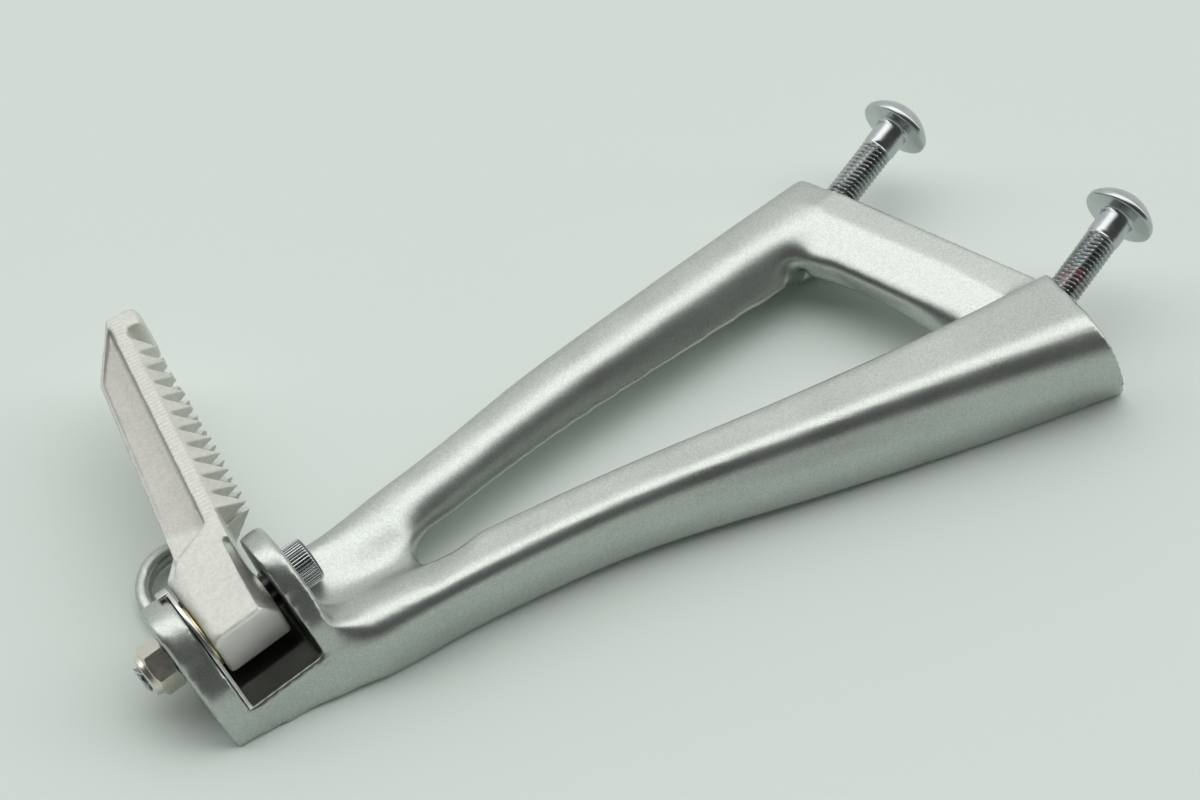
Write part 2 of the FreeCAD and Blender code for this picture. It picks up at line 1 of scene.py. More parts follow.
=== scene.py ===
"""Looks of a passenger footrest hanger: a silver-painted casting, its folding peg and its fasteners."""
import bmesh
import bpy
import json
import math
import numpy as np
from bpy.props import FloatProperty, FloatVectorProperty, IntProperty, PointerProperty
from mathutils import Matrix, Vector


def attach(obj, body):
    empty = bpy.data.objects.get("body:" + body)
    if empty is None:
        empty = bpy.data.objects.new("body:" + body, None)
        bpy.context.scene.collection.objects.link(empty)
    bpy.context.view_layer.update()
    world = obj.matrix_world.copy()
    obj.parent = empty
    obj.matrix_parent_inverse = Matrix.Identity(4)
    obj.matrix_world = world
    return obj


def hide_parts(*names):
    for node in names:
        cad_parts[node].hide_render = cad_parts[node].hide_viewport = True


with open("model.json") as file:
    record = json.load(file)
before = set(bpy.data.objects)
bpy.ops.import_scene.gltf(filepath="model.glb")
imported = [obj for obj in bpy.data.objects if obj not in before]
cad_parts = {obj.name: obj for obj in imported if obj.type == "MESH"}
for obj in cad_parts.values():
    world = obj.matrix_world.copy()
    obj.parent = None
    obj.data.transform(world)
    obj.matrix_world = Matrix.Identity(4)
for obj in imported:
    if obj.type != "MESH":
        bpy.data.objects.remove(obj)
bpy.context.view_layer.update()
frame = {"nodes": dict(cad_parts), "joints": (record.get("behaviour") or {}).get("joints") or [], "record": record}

bl_info = {
    "name": "Footrest Hanger",
    "version": (1, 0, 0),
    "blender": (4, 5, 0),
    "location": "View3D > Sidebar > Hanger",
    "description": "Dresses a motorcycle footrest hanger around its solid model",
    "category": "Object",
}

MM = 0.001
HINGE = frame["joints"][0]
PIN_AT = Vector(HINGE["pos_m"])
PIN_AXIS = Vector(HINGE["axis"]).normalized()
AHEAD = Vector((0, 1, 0))
ABOVE = PIN_AXIS.cross(AHEAD)
FACES = {mount["name"]: mount for mount in frame["record"]["mounts"]}
BOLT_AXIS = Vector(FACES["upper_frame_face"]["axis"]).normalized()

# Places on the casting in the object's frame, in millimetres

FRONT_WALL = (
    (18.6, -22.8, 16.75), (22.1, -29.4, 0.2), (36, -30.1, 10.5), (36, -30.3, 0.4), (36, -28.9, 16.5),
    (18.6, -18.0, 16.0), (22.0, -22.0, 0.2), (36, -21.0, 16.5), (36, -22.0, 0.4),
)
NOSE_FILL = (
    (17.5, -19.2, 21.6), (18.8, -22.6, 16.5), (31.0, -27.2, 16.4), (17.5, -13.0, 21.6), (31.0, -17.0, 16.4),
    (18.5, -13.0, 14.0), (31.0, -17.0, 14.0), (18.8, -22.6, 14.0), (31.0, -27.2, 14.0),
)
MITRE = (
    (202.5, 15.5, 16.5), (213.0, 20.6, 24.0), (225.0, 22.4, 24.7), (219.5, 8.0, 24.2), (205.0, 8.0, 18.2),
    (203.0, 16.5, 12.0), (225.0, 22.0, 12.0), (219.0, 8.0, 12.0), (206.0, 8.0, 12.5),
)
SHOULDER = (
    (60, 1.2, 20.5), (68, 2.4, 20.8), (108, 8.6, 21.8), (150, 13.2, 22.8), (192, 17.5, 23.8), (204, 18.7, 24.1),
)
WALL_HEIGHT = 17.0
WALL_PIVOT = 0.3
CROSS_EDGE = ((226.0, -50, 19.6), (214.4, -20, 19.6), (206.2, 2, 19.6), (200.5, 12, 19.0))
CROSS_BACK = ((240.2, -50.0), (230.2, -20.0), (221.2, 2.0), (217.2, 13.6))
CROSS_TOP = 24.2
CROSS_UNDER = 14.0
CROSS_INSET = 1.5
CROSS_KEEP = 0.8
KNOT = ((200.5, 15.5, 11.0),)
SEAM = ((18.5, -24.5, 14.0),)
BOWL = ((26, -1, 17), (50, -6, 17))
NOSE = ((18, -24, 16), (30, -22, 18))

# Places along, ahead of and above the pin, in millimetres

SLOT = (-13.0, 11.7)
EAR_FOOT = (-22.8, -7.0)
EAR_HEAD = (-12.4, 8.4)
FRONT_SLOPE = 0.386
BEND_PEAK = 1.05
BEND_SOFT = 0.03
SLOT_SLANT = (0.45, 0.89)
BLOCK_RIGHT = 8.9
BLOCK_CORNERS = ((8.9, 22.6), (-5.5, 16.6))
BLOCK_SIDE = (
    (4.4, -8.4, 8.9), (8.9, -8.4, 1.9), (8.9, 22.9, 8.9), (8.9, 22.9, 1.9), (4.4, 22.9, 8.9), (4.4, -8.4, 1.9),
)
BLOCK_TOP = (
    (-9.0, -8.2, 8.9), (4.4, -8.2, 8.9), (8.9, 22.6, 10.2), (-5.5, 16.6, 10.2), (-9.4, 11.5, 9.3),
    (-9.0, -8.2, 5.0), (4.4, -8.2, 5.0), (8.9, 22.6, 5.0), (-5.5, 16.6, 5.0), (-9.4, 11.5, 5.0),
)
BLADE_TILT = math.radians(9.5)
BLADE_ROOT = 23.0
BLADE_TOP = 10.0
SCOOP_FROM = -4.5
SCOOP_WIDTH = 11.6
SCOOP_DEPTH = 3.0
MARK_PITCH = 1.3
PAD_SHARE = 0.85

# Rounds of smoothing over a whole skin, over the clevis and at the end

SKIN_ROUNDS = 2
CLEVIS_ROUNDS = 3
LAST_ROUNDS = 1

# Turned pieces, in millimetres; pairs are a place along the axis and a radius

BOLT_SEGMENTS = 72
BOLT_R = 5.0
BOLT_TIP = ((0, 3.7), (0.6, 4.2))
BOLT_TIP_L = 0.7
BOLT_RUN_OUT = 1.6
BOLT_HEAD_H = 7.8
BOLT_SHANK_L = 8.5
BOLT_DOME_R = 13.08
BOLT_SHANK = ((0.5, 5.1), (0.8, 5.2), (7.3, 5.2), (7.9, 5.35), (8.3, 5.7), (8.5, 6.3))
BOLT_RIM = ((0, 10.3), (0.1, 10.7), (0.3, 10.9), (0.6, 11.0), (1.5, 11.0), (1.75, 10.95))
BOLT_DOME = (10.8, 10.5, 10.1, 9.6, 9.0, 8.2, 7.4, 6.6, 5.8, 5.0, 4.3, 3.8)
SCREW_R = 4.0
SCREW_TIP = ((0, 2.7), (0.2, 3.0))
SCREW_TIP_L = 0.3
SCREW_THREAD_L = 12.0
SCREW_RUN_OUT = 1.0
SCREW_HEAD_R = 6.5
SCREW_HEAD_H = 8.0
SCREW_SEAT = ((0, 4.0), (0, 6.1), (0.25, 6.3))
SCREW_TOP = ((-0.8, 6.4), (-0.4, 6.1), (-0.12, 5.7), (0, 5.2))
SOCKET_FLATS = 6.0
SOCKET_DEPTH = 4.0
SOCKET_CHAMFER = 0.3
SOCKET_DRILL_R = 1.0
NUT_SEGMENTS = 96
NUT_STEPS = 7
NUT_FLATS = 13.0
NUT_RISE = 0.14
NUT_SEAT = ((-2.0, 4.1), (0, 4.5), (0, 6.2))
NUT_COLLAR_H = 1.8
NUT_COLLAR_R = 4.9
NUT_ROLL_H = 0.9
NUT_ROLL_R = 0.95
NUT_BORE = ((0.25, 4.75), (0.5, 4.1))
SHEET_EDGE = 0.16


# User settings


class HangerSizes(bpy.types.PropertyGroup):
    """Sizes of the fine detail."""

    casting_grain: FloatProperty(
        name="Casting mesh", description="Mesh size of the casting's skin", default=0.8 * MM, unit="LENGTH")
    peg_grain: FloatProperty(
        name="Peg mesh", description="Mesh size of the peg's skin", default=0.39 * MM, unit="LENGTH")
    fillet_rounds: IntProperty(
        name="Fillet rounds", description="How far inner corners of the casting are filled", default=16)
    root_rounds: IntProperty(
        name="Root rounds", description="How far the bowl behind the screw is smoothed", default=45)
    ear_bulge: FloatProperty(
        name="Ear bulge", description="How far the ears' fronts stand out in the middle", default=2.0 * MM,
        unit="LENGTH")
    ear_rounds: IntProperty(
        name="Ear rounds", description="How far the clevis edges are rounded", default=9)
    wall_out: FloatProperty(
        name="Wall lean", description="How far the far arm's inner wall stands out at its foot", default=4.6 * MM,
        unit="LENGTH")
    wall_up: FloatProperty(
        name="Wall lift", description="How far the foot of that wall is lifted", default=6.5 * MM, unit="LENGTH")
    wall_rounds: IntProperty(
        name="Wall rounds", description="How far that wall is smoothed", default=40)
    shoulder_rounds: IntProperty(
        name="Shoulder rounds", description="How far the far arm's inner shoulder is rounded", default=160)
    cross_rounds: IntProperty(
        name="Crossbar rounds", description="How far the crossbar's front edge is rounded", default=30)
    knot_rounds: IntProperty(
        name="Corner rounds", description="How far the crossbar's far corner is smoothed underneath", default=120)
    edge_rounds: IntProperty(
        name="Block rounds", description="How far the peg block's outer edge is rounded", default=60)
    tip_rounds: IntProperty(
        name="Tip rounds", description="How far the peg's end lip is rounded", default=30)
    screw_pitch: FloatProperty(
        name="Screw pitch", description="Rise of the pivot screw's thread per turn", default=1.25 * MM,
        unit="LENGTH")
    bolt_pitch: FloatProperty(
        name="Bolt pitch", description="Rise of the frame bolts' thread per turn", default=1.5 * MM, unit="LENGTH")
    thread_depth: FloatProperty(
        name="Thread depth", description="Depth of a thread as a part of its pitch", default=0.58)
    knurl_count: IntProperty(
        name="Knurls", description="Ridges round the socket head", default=46)
    knurl_depth: FloatProperty(
        name="Knurl depth", description="Depth of the grooves round the socket head", default=0.32 * MM,
        unit="LENGTH")


class HangerFinish(bpy.types.PropertyGroup):
    """Colours of the finishes."""

    paint: FloatVectorProperty(
        name="Paint", description="Silver paint of the casting", subtype="COLOR", default=(0.487, 0.525, 0.485))
    peg: FloatVectorProperty(
        name="Peg", description="Raw cast peg", subtype="COLOR", default=(0.695, 0.705, 0.645))
    scoop: FloatVectorProperty(
        name="Scoop", description="Cast floor of the peg's scoop", subtype="COLOR", default=(0.57, 0.57, 0.52))
    zinc: FloatVectorProperty(
        name="Zinc", description="Zinc-plated bolts", subtype="COLOR", default=(0.50, 0.53, 0.53))
    warm_zinc: FloatVectorProperty(
        name="Warm zinc", description="Lock nut", subtype="COLOR", default=(0.74, 0.70, 0.62))
    steel: FloatVectorProperty(
        name="Steel", description="Click plate", subtype="COLOR", default=(0.74, 0.75, 0.72))
    yellow_zinc: FloatVectorProperty(
        name="Yellow zinc", description="Thrust washer", subtype="COLOR", default=(0.68, 0.60, 0.38))
    nylon: FloatVectorProperty(
        name="Nylon", description="Ring in the lock nut", subtype="COLOR", default=(0.78, 0.78, 0.74))
    thread_lock: FloatVectorProperty(
        name="Thread lock", description="Dried thread lock on a bolt", subtype="COLOR", default=(0.42, 0.05, 0.05))
    # Painted shade and real oil: this near-black brown darkens the clevis pocket where shade falls; on the upper
    # bolt it is an oil stain
    oil_and_pocket_shade: FloatVectorProperty(
        name="Old oil", description="Brown film in the clevis and on a bolt", subtype="COLOR",
        default=(0.055, 0.048, 0.034))
    machined: FloatVectorProperty(
        name="Machined", description="Bare metal of the frame faces", subtype="COLOR", default=(0.70, 0.67, 0.62))
    floor: FloatVectorProperty(
        name="Floor", description="Pale floor", subtype="COLOR", default=(0.775, 0.85, 0.797))


class HangerStage(bpy.types.PropertyGroup):
    """Camera and light."""

    azimuth: FloatProperty(
        name="Azimuth", description="Camera's turn about the object", default=math.radians(-36.4), subtype="ANGLE")
    elevation: FloatProperty(
        name="Elevation", description="Camera's height angle", default=math.radians(50.0), subtype="ANGLE")
    place: FloatVectorProperty(
        name="Place", description="Camera's position", default=(-0.1284, -0.3347, 0.5180), subtype="XYZ",
        unit="LENGTH")
    lens: FloatProperty(name="Lens", description="Focal length in millimetres", default=69.0)
    light: FloatProperty(name="Light", description="Strength of the overhead light", default=2.25)


# Mesh helpers


def placed(name, mesh):
    """New object in the scene."""
    piece = bpy.data.objects.new(name, mesh)
    bpy.context.scene.collection.objects.link(piece)
    return piece


def mesh_object(name, verts, faces):
    """New smooth object from vertices and faces."""
    mesh = bpy.data.meshes.new(name)
    mesh.from_pydata([tuple(v) for v in verts], [], faces)
    mesh.validate()
    mesh.polygons.foreach_set("use_smooth", [True] * len(mesh.polygons))
    return placed(name, mesh)


def apply_modifiers(piece):
    """Puts the result of a piece's modifiers in its mesh."""
    graph = bpy.context.evaluated_depsgraph_get()
    mesh = bpy.data.meshes.new_from_object(piece.evaluated_get(graph))
    piece.modifiers.clear()
    piece.data = mesh
    return mesh


def dress(piece, body, slot, material, *nodes):
    """Gives a piece its finish and body, in place of its solids."""
    piece.data.materials.clear()
    piece.data.materials.append(material)
    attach(piece, body)
    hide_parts(*nodes)
    return piece


def solid_points(node):
    """Vertices of a solid's mesh as an array."""
    mesh = frame["nodes"][node].data
    co = np.empty(len(mesh.vertices) * 3)
    mesh.vertices.foreach_get("co", co)
    return co.reshape(-1, 3)


def remeshed(node, name, size, *fillers):
    """Even quad skin over a solid and the hulls of some filler points."""
    work = bmesh.new()
    work.from_mesh(frame["nodes"][node].data)
    for points in fillers:
        corners = [work.verts.new(Vector(point) * MM) for point in points]
        hull = bmesh.ops.convex_hull(work, input=corners)
        faces = [item for item in hull["geom"] if isinstance(item, bmesh.types.BMFace)]
        bmesh.ops.recalc_face_normals(work, faces=faces)
    mesh = bpy.data.meshes.new(name)
    work.to_mesh(mesh)
    work.free()
    piece = placed(name, mesh)
    skin = piece.modifiers.new("skin", "REMESH")
    skin.mode = "VOXEL"
    skin.voxel_size = size
    skin.use_smooth_shade = True
    apply_modifiers(piece).name = name
    return piece


class Skin:
    """A mesh as arrays, for smoothing."""

    def __init__(self, mesh):
        self.mesh = mesh
        count = len(mesh.vertices)
        co = np.empty(count * 3)
        mesh.vertices.foreach_get("co", co)
        self.co = co.reshape(-1, 3)
        edges = np.empty(len(mesh.edges) * 2, np.int64)
        mesh.edges.foreach_get("vertices", edges)
        edges = edges.reshape(-1, 2)
        self.ends = np.concatenate((edges[:, 0], edges[:, 1]))
        self.others = np.concatenate((edges[:, 1], edges[:, 0]))
        self.degree = np.maximum(np.bincount(self.ends, minlength=count), 1)
        mesh.calc_loop_triangles()
        tris = np.empty(len(mesh.loop_triangles) * 3, np.int64)
        mesh.loop_triangles.foreach_get("vertices", tris)
        self.tris = tris.reshape(-1, 3)

    def gather(self, index, values):
        """Sum of values that share an index, for each vertex."""
        return np.stack([np.bincount(index, values[:, k], len(self.co)) for k in range(3)], 1)

    def pull(self):
        """Step of each vertex to the middle of its neighbours."""
        return self.gather(self.ends, self.co[self.others]) / self.degree[:, None] - self.co

    def normals(self):
        """Vertex normals from the triangles."""
        a, b, c = (self.co[self.tris[:, k]] for k in range(3))
        flat = np.cross(b - a, c - a)
        total = sum(self.gather(self.tris[:, k], flat) for k in range(3))
        return total / np.maximum(np.linalg.norm(total, axis=1), 1e-18)[:, None]

    def soften(self, rounds, weight, rate=0.5):
        """Smooths everything, by weight."""
        for _ in range(rounds):
            self.co += self.pull() * (rate * weight)[:, None]

    def fill(self, rounds, weight, rate=0.6, renew=6):
        """Fills inner corners only, as a fillet does."""
        for step in range(rounds):
            if step % renew == 0:
                normals = self.normals()
            lift = (self.pull() * normals).sum(1)
            self.co += normals * (np.maximum(lift, 0) * rate * weight)[:, None]

    def write(self):
        """Puts the vertices back."""
        self.mesh.vertices.foreach_set("co", self.co.ravel())
        self.mesh.update()


def ramp(values, low, high):
    """Smooth step from 0 at low to 1 at high."""
    t = np.clip((values - low) / (high - low), 0, 1)
    return t * t * (3 - 2 * t)


def band(values, low, high, soft):
    """One between two values, fading out at both."""
    return ramp(values, low - soft, low + soft) * (1 - ramp(values, high - soft, high + soft))


def from_segment(places, ends):
    """Distance of each place from a straight segment or a point."""
    start, end = (np.array(place, float) for place in ends)
    reach = end - start
    t = np.clip((places - start) @ reach / max(reach @ reach, 1e-9), 0, 1)
    return np.linalg.norm(places - start - t[:, None] * reach, axis=1)


def near(co, line, inner, outer):
    """One close to a line of points, fading out between two distances in millimetres."""
    places = co / MM
    gaps = [from_segment(places, ends) for ends in zip(line, line[1:] or line)]
    return 1 - ramp(np.min(gaps, axis=0), inner, outer)


def from_pin(points):
    """Points of the pin's own frame in the object's frame, in millimetres."""
    return [PIN_AT / MM + PIN_AXIS * s + AHEAD * y + ABOVE * w for s, y, w in points]


def pin_frame(co):
    """Points as millimetres along the pin, ahead of it and above it."""
    basis = np.array([PIN_AXIS, AHEAD, ABOVE])
    return (co - np.array(PIN_AT)) @ basis.T / MM


def axis_span(node_name, origin, axis):
    """Lowest and highest place of a solid along an axis, in millimetres."""
    along = (solid_points(node_name) - np.array(origin)) @ np.array(axis) / MM
    return along.min(), along.max()


def axis_point(node_name, axis):
    """A point on the middle line of a round solid."""
    co = solid_points(node_name)
    across = co - np.outer(co @ np.array(axis), axis)
    side = axis.cross(Vector((0, 0, 1))).normalized()
    place = Vector((0, 0, 0))
    for direction in (side, side.cross(axis)):
        along = across @ np.array(direction)
        place += direction * ((along.min() + along.max()) / 2)
    return place


class Spin:
    """Round piece built ring by ring along an axis, in millimetres."""

    def __init__(self, segments):
        self.segments = segments
        self.angles = np.linspace(0, 2 * math.pi, segments, endpoint=False)
        self.rings = []

    def ring(self, along, radius):
        """Ring of one radius, or of one for each angle."""
        self.rings.append((along, np.broadcast_to(radius, self.segments)))

    def turned(self, start, profile):
        """Plain rings of a profile, counted from a place along the axis."""
        for along, radius in profile:
            self.ring(start + along, radius)

    def hexagon(self, along, across_flats, limit=math.inf):
        """Ring on a hexagon, cut to a largest radius."""
        turn = np.mod(self.angles, math.pi / 3) - math.pi / 6
        self.ring(along, np.minimum(across_flats / 2 / np.cos(turn), limit))

    def knurled(self, along, radius, count, depth):
        """Ring with grooves along the axis."""
        groove = np.abs(np.sin(self.angles * count / 2)) ** 0.6
        self.ring(along, radius - depth * (1 - groove))

    def thread(self, start, end, radius, pitch, share, run_out, steps=10):
        """Helical thread that fades out at its end."""
        count = max(2, int(abs(end - start) / pitch * steps))
        for along in np.linspace(start, end, count):
            phase = np.mod(along / pitch - self.angles / (2 * math.pi), 1.0)
            wave = np.clip(np.abs(phase * 2 - 1) * 1.25 - 0.125, 0, 1)
            fade = np.clip(abs(end - along) / run_out, 0, 1)
            self.ring(along, radius - share * pitch * wave * fade)

    def build(self, name, origin, axis):
        """Object with both ends closed."""
        turn = Vector((0, 0, 1)).rotation_difference(axis).to_matrix()
        n = self.segments
        verts = []
        for along, radius in self.rings:
            for reach, angle in zip(radius, self.angles):
                local = Vector((reach * math.cos(angle), reach * math.sin(angle), along))
                verts.append(origin + turn @ local * MM)
        faces = []
        for ring in range(len(self.rings) - 1):
            for k in range(n):
                a = ring * n + k
                b = ring * n + (k + 1) % n
                faces.append((a, b, b + n, a + n))
        faces.append(tuple(reversed(range(n))))
        last = (len(self.rings) - 1) * n
        faces.append(tuple(range(last, last + n)))
        piece = mesh_object(name, verts, faces)
        piece.data.set_sharp_from_angle(angle=math.radians(32))
        return piece


# Forms of the casting and the peg


def cross_face():
    """Hulls that raise the crossbar's front edge."""
    ribs = []
    for (x, y, z), back in zip(CROSS_EDGE, CROSS_BACK):
        ribs.append(((x, y, z), (x + CROSS_INSET, y, CROSS_UNDER), (*back, CROSS_TOP), (*back, CROSS_UNDER)))
    return [a + b for a, b in zip(ribs, ribs[1:])]


def flush_front(skin, s, y, w):
    """Draws the near arm's start back to the clevis front."""
    front = EAR_FOOT[0] + (w - EAR_FOOT[1]) * FRONT_SLOPE
    zone = ramp(s, 4, 6) * (1 - ramp(s, 12, 24)) * ramp(w, -22, -16)
    skin.co[:, 1] -= np.minimum(y - front, 0) * zone * MM
    y[:] = skin.co[:, 1] / MM


def bend_ears(skin, s, y, w, rise):
    """Pushes the sloping front of the clevis ears out in the middle."""
    slope = np.array(EAR_HEAD) - EAR_FOOT
    length = np.linalg.norm(slope)
    along = slope / length
    out = np.array((-along[1], along[0]))
    place = np.stack((y, w), 1) - EAR_FOOT
    t = place @ along / length
    depth = place @ out
    bend = np.clip(BEND_PEAK - np.sqrt((2 * t - 1) ** 2 + BEND_SOFT), 0, 1)
    bend *= ramp(depth, -7, -0.5) * (1 - ramp(depth, 2, 4)) * (1 - ramp(s, 18.5, 24))
    skin.co[:, 1] += out[0] * rise * bend
    skin.co += np.outer(out[1] * rise * bend, np.array(ABOVE))


def lean_wall(skin, out, up, rounds):
    """Leans the far arm's inner wall out at its foot."""
    x, y, z = skin.co.T / MM
    stations = np.array(SHOULDER).T
    drop = np.clip((np.interp(x, stations[0], stations[2]) - z) / WALL_HEIGHT, 0, 1)
    behind = y - np.interp(x, stations[0], stations[1])
    zone = (1 - ramp(behind, 1, 11)) * ramp(behind, -8, -5) * ramp(x, 30, 55) * (1 - ramp(x, 196, 206))
    skin.co[:, 1] -= out * (drop - WALL_PIVOT) * zone
    skin.co[:, 2] += up * drop * zone
    skin.soften(rounds, zone * ramp(drop, 0.1, 0.3))


def shape_block(skin):
    """Runs the scoop up to the block's slanting front and draws the hidden pad in."""
    s, y, w = pin_frame(skin.co).T
    across = s * math.cos(BLADE_TILT) - (y - BLADE_ROOT) * math.sin(BLADE_TILT)
    along = s * math.sin(BLADE_TILT) + (y - BLADE_ROOT) * math.cos(BLADE_TILT)
    right, left = np.array(BLOCK_CORNERS)
    edge = (right - left) / np.linalg.norm(right - left)
    ahead = (y - right[1]) * edge[0] - (s - right[0]) * edge[1]
    floor = BLADE_TOP - SCOOP_DEPTH * (across - SCOOP_FROM) / SCOOP_WIDTH
    zone = ramp(ahead, 0.1, 0.9) * ramp(across, -3.9, -3.3) * (1 - ramp(across, 6.3, 7.0))
    zone *= (1 - ramp(along, 6, 9)) * ramp(w, 4, 5)
    skin.co -= np.outer(np.maximum(w - floor, 0) * zone * MM, np.array(ABOVE))
    pad = np.maximum(s - BLOCK_RIGHT, 0) * ramp(w, -4, -2) * (1 - ramp(y, 9, 11))
    skin.co -= np.outer(PAD_SHARE * pad * MM, np.array(PIN_AXIS))


# Material helpers


def new_material(name, colour, roughness, metallic):
    """Material with one shader and its plain values."""
    material = bpy.data.materials.new(name)
    material.use_nodes = True
    shader = material.node_tree.nodes["Principled BSDF"]
    shader.inputs["Base Color"].default_value = (*colour, 1)
    shader.inputs["Roughness"].default_value = roughness
    shader.inputs["Metallic"].default_value = metallic
    return material, shader


def node(tree, kind, **values):
    """New node with named input values."""
    made = tree.nodes.new(kind)
    for key, value in values.items():
        made.inputs[key].default_value = value
    return made


def math_node(tree, operation, first, second=None, third=None):
    """Math node fed by sockets or numbers."""
    made = tree.nodes.new("ShaderNodeMath")
    made.operation = operation
    for place, value in enumerate((first, second, third)):
        if value is None:
            continue
        if isinstance(value, (int, float)):
            made.inputs[place].default_value = value
        else:
            tree.links.new(value, made.inputs[place])
    return made.outputs[0]


def product(tree, *factors):
    """All factors multiplied."""
    total = factors[0]
    for factor in factors[1:]:
        total = math_node(tree, "MULTIPLY", total, factor)
    return total


def vector_node(tree, operation, first, second=None):
    """Vector math node fed by sockets."""
    made = tree.nodes.new("ShaderNodeVectorMath")
    made.operation = operation
    tree.links.new(first, made.inputs[0])
    if second is not None:
        tree.links.new(second, made.inputs[1])
    return made


def ramp_node(tree, value, low, high, to_low=0.0, to_high=1.0):
    """Value moved from one range to another and held at its ends."""
    made = node(tree, "ShaderNodeMapRange")
    made.interpolation_type = "SMOOTHSTEP"
    tree.links.new(value, made.inputs["Value"])
    limits = {"From Min": low, "From Max": high, "To Min": to_low, "To Max": to_high}
    for key, limit in limits.items():
        made.inputs[key].default_value = limit
    return made.outputs["Result"]


def band_node(tree, value, low, high, soft):
    """One between two values, fading out at both."""
    rise = ramp_node(tree, value, low - soft, low + soft)
    fall = ramp_node(tree, value, high - soft, high + soft, 1.0, 0.0)
    return math_node(tree, "MULTIPLY", rise, fall)


def mix_colour(tree, factor, first, second):
    """Blend of two colours, each a socket or a plain colour."""
    made = tree.nodes.new("ShaderNodeMix")
    made.data_type = "RGBA"
    tree.links.new(factor, made.inputs[0])
    for key, value in ((6, first), (7, second)):
        if hasattr(value, "is_linked"):
            tree.links.new(value, made.inputs[key])
        else:
            made.inputs[key].default_value = (*value, 1)
    return made.outputs[2]


def shade(tree, colour, amount):
    """Colour made darker or lighter by an amount near one."""
    made = tree.nodes.new("ShaderNodeVectorMath")
    made.operation = "SCALE"
    if hasattr(colour, "is_linked"):
        tree.links.new(colour, made.inputs[0])
    else:
        made.inputs[0].default_value = colour
    tree.links.new(amount, made.inputs["Scale"])
    return made.outputs[0]


def bump(tree, shader, height, strength, distance):
    """Bump on a shader's normal."""
    made = node(tree, "ShaderNodeBump", Strength=strength, Distance=distance)
    tree.links.new(height, made.inputs["Height"])
    tree.links.new(made.outputs["Normal"], shader.inputs["Normal"])


def effect_group(name, inputs, outputs):
    """Empty shader group with named number sockets."""
    group = bpy.data.node_groups.new(name, "ShaderNodeTree")
    for label, value in inputs:
        socket = group.interface.new_socket(name=label, in_out="INPUT", socket_type="NodeSocketFloat")
        socket.default_value = value
    for label in outputs:
        group.interface.new_socket(name=label, in_out="OUTPUT", socket_type="NodeSocketFloat")
    return group, group.nodes.new("NodeGroupInput"), group.nodes.new("NodeGroupOutput")


def grain_group():
    """Sparkle of fine cells, cloudy patches and a fine skin."""
    group, into, out = effect_group(
        "cast_grain", (("Cell", 2600.0), ("Cloud", 60.0)), ("Sparkle", "Cloud", "Skin"))
    place = group.nodes.new("ShaderNodeTexCoord").outputs["Object"]
    cells = group.nodes.new("ShaderNodeTexVoronoi")
    tone = group.nodes.new("ShaderNodeSeparateColor")
    cloud = node(group, "ShaderNodeTexNoise", Detail=4.0, Roughness=0.6)
    skin = node(group, "ShaderNodeTexNoise", Scale=1400.0, Detail=2.0, Roughness=0.5)
    for texture in (cells, cloud, skin):
        group.links.new(place, texture.inputs["Vector"])
    group.links.new(into.outputs["Cell"], cells.inputs["Scale"])
    group.links.new(into.outputs["Cloud"], cloud.inputs["Scale"])
    group.links.new(cells.outputs["Color"], tone.inputs["Color"])
    group.links.new(tone.outputs["Red"], out.inputs["Sparkle"])
    group.links.new(cloud.outputs["Fac"], out.inputs["Cloud"])
    group.links.new(skin.outputs["Fac"], out.inputs["Skin"])
    return group


def place_group():
    """Distance along a line and from it, in millimetres."""
    group, into, out = effect_group("axis_place", (), ("Along", "Radius"))
    for label in ("Origin", "Axis"):
        group.interface.new_socket(name=label, in_out="INPUT", socket_type="NodeSocketVector")
    place = group.nodes.new("ShaderNodeTexCoord").outputs["Object"]
    offset = vector_node(group, "SUBTRACT", place, into.outputs["Origin"]).outputs["Vector"]
    along = vector_node(group, "DOT_PRODUCT", offset, into.outputs["Axis"]).outputs["Value"]
    across = vector_node(group, "CROSS_PRODUCT", offset, into.outputs["Axis"]).outputs["Vector"]
    radius = vector_node(group, "LENGTH", across).outputs["Value"]
    for label, length in (("Along", along), ("Radius", radius)):
        group.links.new(math_node(group, "DIVIDE", length, MM), out.inputs[label])
    return group


def use_group(tree, group, **values):
    """Places a shared group in a material."""
    made = tree.nodes.new("ShaderNodeGroup")
    made.node_tree = group
    for key, value in values.items():
        made.inputs[key].default_value = value
    return made


def line_place(tree, line, origin, axis):
    """Places along a line and from it, as sockets."""
    made = use_group(tree, line, Origin=tuple(origin), Axis=tuple(axis))
    return made.outputs["Along"], made.outputs["Radius"]


# Finishes


